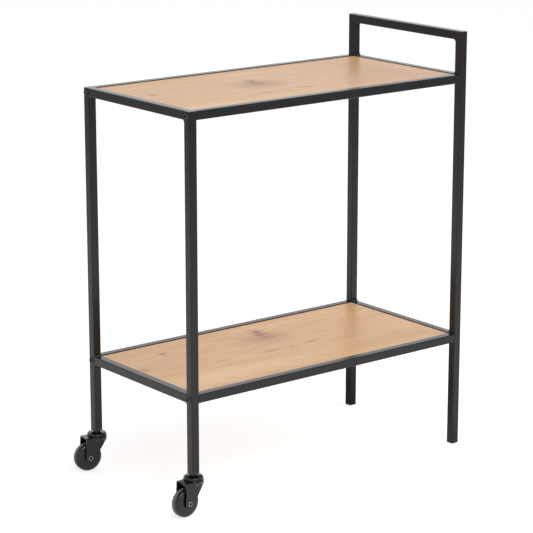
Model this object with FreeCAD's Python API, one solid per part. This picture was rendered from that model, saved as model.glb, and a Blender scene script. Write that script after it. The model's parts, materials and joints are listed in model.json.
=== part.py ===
import FreeCAD, Part
import math
import os

# Serving trolley: two welded end frames of square tube, four rails bolted between them,
# two shelf boards let into the rails, two swivel casters on the left, two feet on the right.
# X runs along the shelves, handle at +X. Y runs from front to back. Z is up from the floor.

Vector = FreeCAD.Vector
axis_x = Vector(1, 0, 0)
axis_y = Vector(0, 1, 0)
axis_z = Vector(0, 0, 1)

# Frame
frame_length = 600.0
frame_depth = 300.0
handle_height = 752.0
top_shelf_height = 677.0
lower_shelf_height = 207.0

# Square tube
tube_size = 15.0
tube_wall = 1.2
tube_corner = 1.5
tube_inner_corner = 0.3

# Closing plate in the top of each left leg
cap_thickness = 1.5
cap_clearance = 0.05
cap_corner = 0.5

# Weld beads, and how far the middle of a bead's face stands from its corner
bead_leg = 4.0
bead_end_margin = 2.0
bead_fullness_share = 0.42

# Bolts through the legs into the rail ends
bolt_diameter = 6.0
bolt_length = 27.0
bolt_head_diameter = 10.5
bolt_head_height = 3.0
bolt_head_rim = 0.6
bolt_head_flat_diameter = 5.4
bolt_head_crown_share = 0.36
bolt_socket_width = 4.0
bolt_socket_depth = 1.8
bolt_hole_clearance = 0.3
insert_length = 14.0
insert_clearance = 0.1
insert_corner = 0.5
thread_clearance = 0.05

# Shelf boards
board_thickness = 9.0
board_recess = 1.2
board_gap = 0.8
board_edge_bevel = 0.3

# Tabs under the boards, and where they stand along a rail
tab_width = 24.0
tab_reach = 15.0
tab_thickness = 2.0
tab_corner = 4.0
tab_place_shares = (0.12, 0.5, 0.88)
tab_hole_clearance = 0.25
tab_hole_inset = 9.0

# Board screws
screw_diameter = 3.5
screw_grip = 7.0
screw_head_diameter = 7.0
screw_head_height = 2.0
screw_head_edge = 0.6
screw_slot_length = 4.2
screw_slot_width = 0.8
screw_slot_depth = 1.1

# Feet of the right uprights
foot_head_height = 3.0
foot_bevel = 0.8
foot_stem_height = 16.0
foot_cavity_width = 9.0
foot_cavity_depth = 12.0

# Leg plugs of the left legs
plug_head_height = 2.0
plug_bevel = 0.7
plug_stem_height = 24.0

# Gap round the stems of the feet and plugs, inside the tubes
stem_clearance = 0.1
stem_corner = 0.5

# Caster wheel
wheel_diameter = 50.0
wheel_width = 18.0
wheel_tread_corner = 3.5
wheel_tread_crown = 0.5
wheel_rim_depth = 2.2
wheel_web_width = 13.2
wheel_boss_diameter = 17.0
wheel_boss_bevel = 1.0
wheel_dish_shares = (0.55, 0.72)
wheel_side_gap = 0.4
wheel_running_clearance = 0.08

# Caster fork
caster_trail = 19.0
fork_top_height = 61.5
fork_sheet = 2.0
fork_width = 26.0
fork_bend_radius = 3.0
fork_heel = 7.0
fork_end_radius = 9.0
fork_plate_diameter = 35.0
fork_lip_height = 4.0
fork_lip_fillet = 0.8
fork_shoulder_drop = 6.0

# Axle rivet
axle_diameter = 6.0
axle_bore_diameter = 3.8
axle_fit = 0.04
axle_flange_diameter = 8.8
axle_flange_height = 1.1

# Swivel bearing
stem_diameter = 8.0
stem_thread_height = 20.0
stem_running_clearance = 0.08
stem_fit = 0.03
bearing_gap = 0.3
dome_height = 11.2
dome_diameter = 34.0
dome_top_diameter = 13.0
dome_top_fall = 0.9
dome_corner = 5.5
dome_wall = 1.8
dome_boss_diameter = 15.0
ball_diameter = 4.0
ball_pitch_diameter = 23.0
ball_count = 16
ball_seat_depth = 0.5
ball_seat_clearance = 0.05
race_diameter = 17.0
race_thickness = 1.2
stem_head_diameter = 12.0
stem_head_height = 1.6
stem_head_bevel = 0.5

# How far the casters stand turned at rest, in degrees
front_caster_turn = 5.6
back_caster_turn = -7.0

# How far a cut runs past the faces that it opens
overrun = 1.0

# Places that follow from the sizes above
caster_overhang = caster_trail + wheel_diameter / 2 - tube_size / 2
left_x = -frame_length / 2 + caster_overhang / 2
right_x = left_x + frame_length
front_y = -frame_depth / 2
back_y = frame_depth / 2
caster_height = fork_top_height + bearing_gap + dome_height
left_leg_x = (left_x, left_x + tube_size)
right_leg_x = (right_x - tube_size, right_x)
front_leg_y = (front_y, front_y + tube_size)
back_leg_y = (back_y - tube_size, back_y)
rail_x = (left_leg_x[1], right_leg_x[0])
crossbar_y = (front_leg_y[1], back_leg_y[0])
pivot_x = sum(left_leg_x) / 2
leg_centres_y = (sum(front_leg_y) / 2, sum(back_leg_y) / 2)
tube_inside = tube_size - 2 * tube_wall


def bar_z(height):
    # The lowest and highest points of a tube whose top lies at one height
    return (height - tube_size, height)


def box(x, y, z):
    # A block between two values on each axis
    return Part.makeBox(x[1] - x[0], y[1] - y[0], z[1] - z[0], Vector(x[0], y[0], z[0]))


def rounded_bar(x, y, z, along, radius):
    # A block whose four edges along one axis are rounded
    block = box(x, y, z)
    edges = [e for e in block.Edges if abs(e.tangentAt(e.FirstParameter).dot(along)) > 0.5]
    return block.makeFillet(radius, edges)


def tube(x, y, z, along):
    # A square tube along one axis, open at both ends
    spans = []
    for span, axis in ((x, axis_x), (y, axis_y), (z, axis_z)):
        step = -overrun if axis.dot(along) > 0.5 else tube_wall
        spans.append((span[0] + step, span[1] - step))
    outside = rounded_bar(x, y, z, along, tube_corner)
    inside = rounded_bar(*spans, along, tube_inner_corner)
    return outside.cut(inside)


def centred(middle, width):
    # A span of one width about a middle
    return (middle - width / 2, middle + width / 2)


def rod(start, along, length, diameter):
    return Part.makeCylinder(diameter / 2, length, start, along)


def filled(edges, across):
    # A flat face inside a closed run of edges, pushed along a vector
    return Part.Face(Part.Wire(edges)).extrude(across)


def run(*points):
    # Straight edges from each point to the next
    return [Part.LineSegment(a, b).toShape() for a, b in zip(points, points[1:])]


def arc(start, middle, end):
    return Part.Arc(start, middle, end).toShape()


def turned(edges, centre, axis):
    # A solid of revolution
    return Part.Face(Part.Wire(edges)).revolve(centre, axis, 360)


def export(name, *solids):
    # Writes one node: a single solid, or a group of separate ones
    shape = solids[0] if len(solids) == 1 else Part.makeCompound(list(solids))
    shape.exportStep("parts/" + name + ".step")


# End frames

def bolt_holes(leg_x, leg_y):
    # The two cross holes of a leg, one for each shelf's rail
    width = bolt_diameter + 2 * bolt_hole_clearance
    holes = []
    for height in (top_shelf_height, lower_shelf_height):
        start = Vector(leg_x[0] - overrun, sum(leg_y) / 2, sum(bar_z(height)) / 2)
        holes.append(rod(start, axis_x, tube_size + 2 * overrun, width))
    return holes


def left_leg(leg_y):
    leg = tube(left_leg_x, leg_y, (caster_height + plug_head_height, top_shelf_height), axis_z)
    return leg.cut(bolt_holes(left_leg_x, leg_y))


def leg_cap(leg_y):
    # A plate let into the open top of a left leg
    width = tube_inside - 2 * cap_clearance
    x = centred(pivot_x, width)
    y = centred(sum(leg_y) / 2, width)
    return rounded_bar(x, y, (top_shelf_height - cap_thickness, top_shelf_height), axis_z, cap_corner)


def mitre_cut(outer_y, inward, above):
    # A wedge on one side of the diagonal through an upper corner of the handle frame
    reach = tube_size + overrun
    top = handle_height
    x = right_leg_x[0] - overrun
    low = Vector(x, outer_y + inward * reach, top - reach)
    high = Vector(x, outer_y - inward * overrun, top + overrun)
    corner = Vector(x, low.y, high.z) if above else Vector(x, high.y, low.z)
    return filled(run(low, high, corner, low), axis_x * (tube_size + 2 * overrun))


def right_upright(leg_y, outer_y, inward):
    upright = tube(right_leg_x, leg_y, (foot_head_height, handle_height), axis_z)
    return upright.cut([mitre_cut(outer_y, inward, True)] + bolt_holes(right_leg_x, leg_y))


def handle_bar():
    bar = tube(right_leg_x, (front_y, back_y), bar_z(handle_height), axis_y)
    return bar.cut([mitre_cut(front_y, 1, False), mitre_cut(back_y, -1, False)])


def crossbar(leg_x, height):
    return tube(leg_x, crossbar_y, bar_z(height), axis_y)


def rail(leg_y, height):
    return tube(rail_x, leg_y, bar_z(height), axis_x)


def weld_bead(leg_x, y, z, side_y, side_z):
    # A three-sided bead along X in the corner at y, z, with a slightly hollow face
    x = leg_x[0] + bead_end_margin
    middle = bead_leg * bead_fullness_share
    corner = Vector(x, y, z)
    on_bar = Vector(x, y + side_y * bead_leg, z)
    on_leg = Vector(x, y, z + side_z * bead_leg)
    face = Vector(x, y + side_y * middle, z + side_z * middle)
    edges = run(on_leg, corner, on_bar) + [arc(on_bar, face, on_leg)]
    return filled(edges, axis_x * (tube_size - 2 * bead_end_margin))


def bead_row(leg_x, places):
    # Beads at both ends of a crossbar, for each height and side
    beads = []
    for z, side_z in places:
        beads.append(weld_bead(leg_x, crossbar_y[0], z, 1, side_z))
        beads.append(weld_bead(leg_x, crossbar_y[1], z, -1, side_z))
    return beads


def left_beads():
    top = bar_z(top_shelf_height)
    low = bar_z(lower_shelf_height)
    return bead_row(left_leg_x, ((top[0], -1), (low[0], -1), (low[1], 1)))


def right_beads():
    top = bar_z(top_shelf_height)
    low = bar_z(lower_shelf_height)
    handle = bar_z(handle_height)
    shelves = ((top[0], -1), (top[1], 1), (low[0], -1), (low[1], 1))
    return bead_row(right_leg_x, ((handle[0], -1),) + shelves)


# Fasteners of the frame

def rail_ends():
    # The middle of each bolted joint: outer face, direction into the rail, y and z
    ends = []
    for face_x, inward in ((left_x, 1), (right_x, -1)):
        for height in (top_shelf_height, lower_shelf_height):
            for y in leg_centres_y:
                ends.append((face_x, inward, y, sum(bar_z(height)) / 2))
    return ends


def bolt(face_x, inward, y, z):
    # A button-head bolt with a hexagon socket, its head on the outer face of a leg
    rim = bolt_head_diameter / 2
    flat = bolt_head_flat_diameter / 2
    rise = bolt_head_height - bolt_head_rim
    crown_x = bolt_head_rim + rise * (1 - bolt_head_crown_share)
    crown_y = flat + (rim - flat) * (1 - bolt_head_crown_share)
    foot = Vector(face_x, y, z)

    def at(out, across):
        return foot + Vector(-inward * out, across, 0)

    face = at(bolt_head_height, flat)
    edge = at(bolt_head_rim, rim)
    profile = run(face, at(bolt_head_height, 0), at(0, 0), at(0, rim), edge)
    profile.append(arc(edge, at(crown_x, crown_y), face))
    head = turned(profile, foot, axis_x)
    shank = rod(foot, axis_x * inward, bolt_length, bolt_diameter)
    return head.fuse(shank).removeSplitter().cut(hexagon(foot, inward))


def hexagon(foot, inward):
    # The socket, as a six-sided prism sunk into the head
    radius = bolt_socket_width / math.sqrt(3)
    bottom = foot + axis_x * (-inward * (bolt_head_height - bolt_socket_depth))
    corners = []
    for step in range(7):
        angle = math.radians(60 * step)
        corners.append(bottom + Vector(0, radius * math.cos(angle), radius * math.sin(angle)))
    return filled(run(*corners), axis_x * (-inward * (bolt_socket_depth + overrun)))


def rail_insert(face_x, inward, y, z):
    # A threaded block fixed in the end of a rail
    width = tube_inside - 2 * insert_clearance
    near = face_x + inward * tube_size
    far = near + inward * insert_length
    block = rounded_bar(sorted((near, far)), centred(y, width), centred(z, width), axis_x, insert_corner)
    start = Vector(near - inward * overrun, y, z)
    hole = rod(start, axis_x * inward, insert_length + 2 * overrun, bolt_diameter + 2 * thread_clearance)
    return block.cut(hole)


# Shelves

def tab_places():
    # The middle of each tab's free part in plan, and the way it points
    places = []
    for share in tab_place_shares:
        x = rail_x[0] + share * (rail_x[1] - rail_x[0])
        places.append((x, crossbar_y[0], 1))
        places.append((x, crossbar_y[1], -1))
    return places


def tab_holes(bottom, height, diameter):
    # Upright rods at every tab, for holes in the tabs and in the boards
    holes = []
    for x, y, inward in tab_places():
        holes.append(rod(Vector(x, y + inward * tab_hole_inset, bottom), axis_z, height, diameter))
    return holes


def shelf_board(height):
    top = height - board_recess
    x = (rail_x[0] + board_gap, rail_x[1] - board_gap)
    y = (crossbar_y[0] + board_gap, crossbar_y[1] - board_gap)
    board = box(x, y, (top - board_thickness, top))
    board = board.makeChamfer(board_edge_bevel, board.Edges)
    width = screw_diameter + 2 * thread_clearance
    holes = tab_holes(top - board_thickness - overrun, screw_grip + thread_clearance + overrun, width)
    return board.cut(holes)


def board_tabs(height):
    top = height - board_recess - board_thickness
    tabs = []
    for x, y, inward in tab_places():
        free_y = y + inward * tab_reach
        plate = box(centred(x, tab_width), sorted((y, free_y)), (top - tab_thickness, top))
        free = [e for e in plate.Edges if is_free_corner(e, free_y)]
        tabs.append(plate.makeFillet(tab_corner, free))
    width = screw_diameter + 2 * tab_hole_clearance
    holes = tab_holes(top - tab_thickness - overrun, tab_thickness + 2 * overrun, width)
    return [tab.cut(hole) for tab, hole in zip(tabs, holes)]


def is_free_corner(edge, free_y):
    # True for the two upright edges at a tab's free end
    upright = abs(edge.tangentAt(edge.FirstParameter).dot(axis_z)) > 0.5
    return upright and abs(edge.CenterOfMass.y - free_y) < tab_thickness


def board_screws(height):
    # Pan-head screws, up through the tabs into the board
    seat = height - board_recess - board_thickness - tab_thickness
    screws = []
    for x, y, inward in tab_places():
        base = Vector(x, y + inward * tab_hole_inset, seat)
        shank = rod(base, axis_z, tab_thickness + screw_grip, screw_diameter)
        head = rod(base - axis_z * screw_head_height, axis_z, screw_head_height, screw_head_diameter)
        head = head.makeFillet(screw_head_edge, rim_below(head, seat - screw_head_height / 2))
        screws.append(head.fuse(shank).removeSplitter().cut(cross_slot(base)))
    return screws


def rim_below(turned_solid, height):
    # The round edges of an upright cylinder that lie below a height
    return [e for e in turned_solid.Edges if e.Closed and e.CenterOfMass.z < height]


def cross_slot(base):
    # Two crossed slots in the underside of a screw head
    z = (base.z - screw_head_height - overrun, base.z - screw_head_height + screw_slot_depth)
    long_x = box(centred(base.x, screw_slot_length), centred(base.y, screw_slot_width), z)
    long_y = box(centred(base.x, screw_slot_width), centred(base.y, screw_slot_length), z)
    return [long_x, long_y]


# Plugs and feet

def tube_plug(x, y, bottom, head_height, bevel, stem_height):
    # A square plug: a head as wide as the tube, and a stem inside it
    z = (bottom, bottom + head_height)
    head = rounded_bar(centred(x, tube_size), centred(y, tube_size), z, axis_z, tube_corner)
    under = [e for e in head.Edges if max(v.Z for v in e.Vertexes) < bottom + head_height / 2]
    head = head.makeChamfer(bevel, under)
    width = tube_inside - 2 * stem_clearance
    z = (bottom + head_height, bottom + head_height + stem_height)
    stem = rounded_bar(centred(x, width), centred(y, width), z, axis_z, stem_corner)
    return head.fuse(stem).removeSplitter()


def right_foot(y):
    x = sum(right_leg_x) / 2
    foot = tube_plug(x, y, 0, foot_head_height, foot_bevel, foot_stem_height)
    top = foot_head_height + foot_stem_height
    z = (top - foot_cavity_depth, top + overrun)
    return foot.cut(box(centred(x, foot_cavity_width), centred(y, foot_cavity_width), z))


def leg_plug(y):
    plug = tube_plug(pivot_x, y, caster_height, plug_head_height, plug_bevel, plug_stem_height)
    start = Vector(pivot_x, y, caster_height - overrun)
    length = plug_head_height + plug_stem_height + 2 * overrun
    return plug.cut(rod(start, axis_z, length, stem_diameter + 2 * thread_clearance))


# Casters, made about a swivel axis at x = 0, y = 0, with the wheel trailing towards -X

def caster_stem():
    # The threaded stem, riveted over below the lower race
    head_top = fork_top_height - fork_sheet - bearing_gap - race_thickness
    bottom = head_top - stem_head_height
    head = rod(Vector(0, 0, bottom), axis_z, stem_head_height, stem_head_diameter)
    head = head.makeChamfer(stem_head_bevel, rim_below(head, head_top - stem_head_height / 2))
    length = caster_height + stem_thread_height - bottom
    shank = rod(Vector(0, 0, bottom), axis_z, length, stem_diameter)
    return head.fuse(shank).removeSplitter()


def lower_race():
    bottom = fork_top_height - fork_sheet - bearing_gap - race_thickness
    washer = rod(Vector(0, 0, bottom), axis_z, race_thickness, race_diameter)
    start = Vector(0, 0, bottom - overrun)
    hole = rod(start, axis_z, race_thickness + 2 * overrun, stem_diameter + 2 * stem_fit)
    return washer.cut(hole)


def bearing_dome():
    # The domed cover over the balls: a top that falls slightly, a round corner, a boss round the stem
    bottom = fork_top_height + bearing_gap
    top = bottom + dome_height
    bore = stem_diameter / 2 + stem_fit
    rim = dome_diameter / 2
    inside = rim - dome_wall
    crown = dome_top_diameter / 2
    boss = dome_boss_diameter / 2
    race_z = fork_top_height - ball_seat_depth + ball_diameter + bearing_gap
    edge_z = top - dome_top_fall

    def at(r, z):
        return Vector(r, 0, z)

    edges = run(at(bore, top), at(bore, bottom), at(boss, bottom), at(boss, race_z), at(inside, race_z),
                at(inside, bottom), at(rim, bottom), at(rim, edge_z), at(crown, top), at(bore, top))
    dome = turned(edges, Vector(), axis_z)
    corner = [e for e in dome.Edges if e.Closed and abs(e.CenterOfMass.z - edge_z) < dome_top_fall / 2]
    return dome.makeFillet(dome_corner, corner)


def bearing_balls():
    z = fork_top_height - ball_seat_depth + ball_diameter / 2
    balls = []
    for step in range(ball_count):
        angle = 2 * math.pi * step / ball_count
        out = Vector(math.cos(angle), math.sin(angle), 0) * (ball_pitch_diameter / 2)
        balls.append(Part.makeSphere(ball_diameter / 2, out + axis_z * z))
    return balls


def fork_channel():
    # The bent sheet seen from behind: a top and two sides with round bends
    outer = fork_channel_block(fork_width, fork_top_height, fork_bend_radius)
    inner_width = fork_width - 2 * fork_sheet
    inner_radius = fork_bend_radius - fork_sheet
    return outer.cut(fork_channel_block(inner_width, fork_top_height - fork_sheet, inner_radius))


def fork_channel_block(width, top, radius):
    # A block from below the fork's end to a height, its two upper long edges rounded
    x = (-caster_trail - fork_end_radius - overrun, fork_plate_diameter / 2 + overrun)
    block = box(x, centred(0, width), (0, top))
    edges = [e for e in block.Edges if is_long_top(e, top)]
    return block.makeFillet(radius, edges)


def is_long_top(edge, top):
    # True for the two upper edges along X
    along = abs(edge.tangentAt(edge.FirstParameter).dot(axis_x)) > 0.5
    return along and edge.CenterOfMass.z > top / 2


def tangent_point(centre, radius, point, side):
    # Where a line from a point touches a circle in the XZ plane, on one side
    dx = point.x - centre.x
    dz = point.z - centre.z
    angle = math.atan2(dz, dx) + side * math.acos(radius / math.hypot(dx, dz))
    return centre + Vector(radius * math.cos(angle), 0, radius * math.sin(angle))


def fork_side():
    # The side outline of the fork: heel, round end at the axle, slanted front edge
    y = -fork_width / 2 - overrun
    hub = Vector(-caster_trail, y, wheel_diameter / 2)
    heel = Vector(-caster_trail - fork_heel, y, fork_top_height + overrun)
    half_plate = fork_plate_diameter / 2
    front_x = math.sqrt(half_plate ** 2 - (fork_width / 2) ** 2)
    shoulder = Vector(front_x, y, fork_top_height - fork_shoulder_drop)
    front = Vector(half_plate + overrun, y, shoulder.z)
    front_top = Vector(front.x, y, heel.z)
    behind = tangent_point(hub, fork_end_radius, heel, 1)
    ahead = tangent_point(hub, fork_end_radius, shoulder, -1)
    lowest = hub - axis_z * fork_end_radius
    edges = run(ahead, shoulder, front, front_top, heel, behind) + [arc(behind, lowest, ahead)]
    return filled(edges, axis_y * (fork_width + 2 * overrun))


def fork_plan():
    # The plan outline: straight sides and heel, and a round front about the stem
    top = fork_top_height + overrun
    rear_x = -caster_trail - fork_end_radius - overrun
    block = box((rear_x, 0), centred(0, fork_width + 2 * overrun), (0, top))
    return block.fuse(rod(Vector(), axis_z, top, fork_plate_diameter))


def fork_lip():
    # The round plate under the dome, with a lip that is turned down where it passes the sides
    half = fork_plate_diameter / 2
    bottom = fork_top_height - fork_lip_height
    plate = rod(Vector(0, 0, bottom), axis_z, fork_lip_height, fork_plate_diameter)
    edge = [e for e in plate.Edges if e.Closed and e.CenterOfMass.z > fork_top_height - fork_lip_fillet]
    plate = plate.makeFillet(fork_lip_fillet, edge)
    depth = fork_lip_height - fork_sheet + overrun
    start = Vector(0, 0, bottom - overrun)
    hollow = rod(start, axis_z, depth, fork_plate_diameter - 2 * fork_sheet)
    behind = box((-half - overrun, 0), centred(0, fork_width - fork_sheet), (start.z, start.z + depth))
    return plate.cut([hollow, behind])


def caster_fork():
    body = fork_channel().common(fork_side()).common(fork_plan())
    body = body.fuse(fork_lip()).removeSplitter()
    hub = Vector(-caster_trail, -fork_width / 2 - overrun, wheel_diameter / 2)
    axle_hole = rod(hub, axis_y, fork_width + 2 * overrun, axle_diameter + 2 * axle_fit)
    below = Vector(0, 0, fork_top_height - fork_sheet - overrun)
    stem_width = stem_diameter + 2 * stem_running_clearance
    stem_hole = rod(below, axis_z, fork_sheet + 2 * overrun, stem_width)
    seat_centre = Vector(0, 0, fork_top_height - ball_seat_depth + ball_diameter / 2)
    seat_radius = ball_diameter / 2 + ball_seat_clearance
    seat = Part.makeTorus(ball_pitch_diameter / 2, seat_radius, seat_centre, axis_z)
    return body.cut([axle_hole, stem_hole, seat])


def axle_rivet():
    # A hollow rivet with a rounded flange at each end
    hub = Vector(-caster_trail, 0, wheel_diameter / 2)
    bore = axle_bore_diameter / 2
    shank = axle_diameter / 2
    flange = axle_flange_diameter / 2
    inner = fork_width / 2
    outer = inner + axle_flange_height
    middle = (bore + flange) / 2

    def at(along, r):
        return hub + Vector(0, along, r)

    edges = run(at(-inner, flange), at(-inner, shank), at(inner, shank), at(inner, flange))
    edges.append(arc(at(inner, flange), at(outer, middle), at(inner, bore)))
    edges += run(at(inner, bore), at(-inner, bore))
    edges.append(arc(at(-inner, bore), at(-outer, middle), at(-inner, flange)))
    return turned(edges, hub, axis_y)


def caster_wheel():
    # A solid wheel with a crowned tread, a dished face on both sides and a boss at the axle
    hub = Vector(-caster_trail, 0, wheel_diameter / 2)
    radius = wheel_diameter / 2
    half = wheel_width / 2
    shoulder = radius - wheel_tread_crown
    flat = half - wheel_tread_corner
    bend = wheel_tread_corner * (1 - math.sqrt(0.5))
    rim = shoulder - wheel_tread_corner - wheel_rim_depth
    web = wheel_web_width / 2
    boss = wheel_boss_diameter / 2
    boss_half = fork_width / 2 - fork_sheet - wheel_side_gap
    bore = axle_diameter / 2 + wheel_running_clearance
    dish_half = web + (half - web) * (1 - wheel_dish_shares[0])
    dish_radius = boss + (rim - boss) * wheel_dish_shares[1]

    def at(along, r):
        return hub + Vector(0, along, r)

    def side(way):
        # One face, from the tread's edge in to the bore
        tread_edge = at(way * flat, shoulder)
        face_edge = at(way * half, shoulder - wheel_tread_corner)
        rim_edge = at(way * half, rim)
        web_edge = at(way * web, boss)
        edges = [arc(tread_edge, at(way * (half - bend), shoulder - bend), face_edge)]
        edges += run(face_edge, rim_edge)
        edges.append(arc(rim_edge, at(way * dish_half, dish_radius), web_edge))
        edges += run(web_edge, at(way * (boss_half - wheel_boss_bevel), boss),
                     at(way * boss_half, boss - wheel_boss_bevel), at(way * boss_half, bore))
        return edges

    tread = arc(at(-flat, shoulder), at(0, radius), at(flat, shoulder))
    through = run(at(boss_half, bore), at(-boss_half, bore))
    return turned([tread] + side(1) + through + side(-1)[::-1], hub, axis_y)


def place_caster(solids, leg_y, turn):
    # Turns a caster about its stem and sets it under a leg
    placed = []
    for solid in solids:
        copy = solid.copy()
        copy.rotate(Vector(), axis_z, turn)
        copy.translate(Vector(pivot_x, leg_y, 0))
        placed.append(copy)
    return placed


def export_caster(side, leg_y, turn):
    export(side + "_leg_plug", leg_plug(leg_y))
    single = {
        "_caster_stem": caster_stem(),
        "_caster_lower_race": lower_race(),
        "_caster_bearing_dome": bearing_dome(),
        "_caster_fork": caster_fork(),
        "_caster_axle_rivet": axle_rivet(),
        "_caster_wheel": caster_wheel(),
    }
    for name, solid in single.items():
        export(side + name, *place_caster([solid], leg_y, turn))
    export(side + "_caster_balls", *place_caster(bearing_balls(), leg_y, turn))


def export_shelf(name, height):
    export(name + "_shelf_board", shelf_board(height))
    export(name + "_board_tabs", *board_tabs(height))
    export(name + "_board_screws", *board_screws(height))
    export("front_" + name + "_rail", rail(front_leg_y, height))
    export("back_" + name + "_rail", rail(back_leg_y, height))
    export("left_" + name + "_crossbar", crossbar(left_leg_x, height))
    export("right_" + name + "_crossbar", crossbar(right_leg_x, height))


def main():
    os.makedirs("parts", exist_ok=True)
    export("front_left_leg", left_leg(front_leg_y))
    export("back_left_leg", left_leg(back_leg_y))
    export("left_leg_top_caps", leg_cap(front_leg_y), leg_cap(back_leg_y))
    export("front_right_upright", right_upright(front_leg_y, front_y, 1))
    export("back_right_upright", right_upright(back_leg_y, back_y, -1))
    export("handle_bar", handle_bar())
    export("left_frame_weld_beads", *left_beads())
    export("right_frame_weld_beads", *right_beads())
    export_shelf("top", top_shelf_height)
    export_shelf("lower", lower_shelf_height)
    ends = rail_ends()
    export("rail_end_inserts", *[rail_insert(*end) for end in ends])
    export("left_frame_bolts", *[bolt(*end) for end in ends if end[1] > 0])
    export("right_frame_bolts", *[bolt(*end) for end in ends if end[1] < 0])
    export("front_right_foot", right_foot(leg_centres_y[0]))
    export("back_right_foot", right_foot(leg_centres_y[1]))
    export_caster("front", leg_centres_y[0], front_caster_turn)
    export_caster("back", leg_centres_y[1], back_caster_turn)


main()
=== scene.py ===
import json
import math

import bmesh
import bpy
import numpy as np
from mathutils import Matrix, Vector


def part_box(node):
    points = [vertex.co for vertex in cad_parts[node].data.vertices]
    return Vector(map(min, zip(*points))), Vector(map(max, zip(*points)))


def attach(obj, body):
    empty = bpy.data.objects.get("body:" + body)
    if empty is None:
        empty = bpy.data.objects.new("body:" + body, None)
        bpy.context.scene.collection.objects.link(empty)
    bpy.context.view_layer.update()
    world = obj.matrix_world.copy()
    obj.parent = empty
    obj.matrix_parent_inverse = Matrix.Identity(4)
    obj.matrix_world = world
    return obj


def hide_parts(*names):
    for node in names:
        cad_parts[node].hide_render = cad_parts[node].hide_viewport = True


# Looks of a serving trolley: black powder-coated tube frame, oak decor shelves, two swivel casters on
# the left and two plugged feet on the right. The scene is in metres. Sizes of pieces and patterns are
# written in millimetres, and places in the room in metres.

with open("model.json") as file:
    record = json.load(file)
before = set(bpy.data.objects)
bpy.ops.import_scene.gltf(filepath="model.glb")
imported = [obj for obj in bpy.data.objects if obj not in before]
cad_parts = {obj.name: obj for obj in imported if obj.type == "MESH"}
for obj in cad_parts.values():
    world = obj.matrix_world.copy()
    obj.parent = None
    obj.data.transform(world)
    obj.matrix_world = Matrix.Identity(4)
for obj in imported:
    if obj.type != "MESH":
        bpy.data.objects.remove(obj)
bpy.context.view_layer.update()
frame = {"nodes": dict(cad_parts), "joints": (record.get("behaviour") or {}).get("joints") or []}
nodes = frame["nodes"]
print("frame loaded:", len(nodes), "nodes")

mm = 0.001
mergeReach = 1e-6   # metres within which points count as one


# Camera: where the photograph was taken from, fitted to the straight edges of the frame

camera = {
    "place": (-2.25955, -2.8503, 1.2830),
    "heading": 38.308,   # degrees from +Y towards +X
    "dip": 14.374,       # degrees below the horizon
    "lens": 145.32,      # millimetres, for the sensor below
    "sensor": 36.0,
}


def aimCamera():
    data = bpy.data.cameras.new("photoCamera")
    data.lens = camera["lens"]
    data.sensor_width = camera["sensor"]
    eye = bpy.data.objects.new("photoCamera", data)
    bpy.context.scene.collection.objects.link(eye)
    eye.location = camera["place"]
    eye.rotation_euler = (math.radians(90 - camera["dip"]), 0, math.radians(-camera["heading"]))
    bpy.context.scene.camera = eye


aimCamera()
print("camera set")


# Tools for meshes

def gridFaces(rows, columns, wrapRows, wrapColumns):
    # Quads between neighbouring rows and columns, wrapped where the grid closes on itself
    number = np.arange(rows * columns).reshape(rows, columns)
    if wrapRows:
        number = np.vstack([number, number[:1]])
    if wrapColumns:
        number = np.hstack([number, number[:, :1]])
    quads = np.stack([number[:-1, :-1], number[1:, :-1], number[1:, 1:], number[:-1, 1:]], -1)
    return quads.reshape(-1, 4)


def makePiece(name, grids, sharpAngle=32):
    # grids: (points as rows x columns x 3, rows closed, columns closed), joined into one object
    corners, faces, start = [], [], 0
    for points, wrapRows, wrapColumns in grids:
        corners.append(points.reshape(-1, 3))
        faces.append(gridFaces(*points.shape[:2], wrapRows, wrapColumns) + start)
        start += len(corners[-1])
    mesh = bpy.data.meshes.new(name)
    mesh.from_pydata(np.vstack(corners).tolist(), [], np.vstack(faces).tolist())
    work = bmesh.new()
    work.from_mesh(mesh)
    bmesh.ops.remove_doubles(work, verts=work.verts, dist=mergeReach)
    bmesh.ops.recalc_face_normals(work, faces=work.faces)
    work.to_mesh(mesh)
    work.free()
    smoothMesh(mesh, sharpAngle)
    piece = bpy.data.objects.new(name, mesh)
    bpy.context.scene.collection.objects.link(piece)
    return piece


def smoothMesh(mesh, sharpAngle):
    # Smooth shading, but for edges that turn by more than the sharp angle in degrees
    mesh.polygons.foreach_set("use_smooth", np.ones(len(mesh.polygons), bool))
    mesh.set_sharp_from_angle(angle=math.radians(sharpAngle))
    mesh.update()


def applyModifiers(piece, sharpAngle):
    # The piece's mesh as its modifiers leave it
    graph = bpy.context.evaluated_depsgraph_get()
    mesh = bpy.data.meshes.new_from_object(piece.evaluated_get(graph))
    piece.modifiers.clear()
    piece.data = mesh
    smoothMesh(mesh, sharpAngle)


def smoothStep(low, high, value):
    # 0 below low, 1 above high, and t*t*(3 - 2*t) in between
    t = np.clip((value - low) / (high - low), 0, 1)
    return t * t * (3 - 2 * t)


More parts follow.
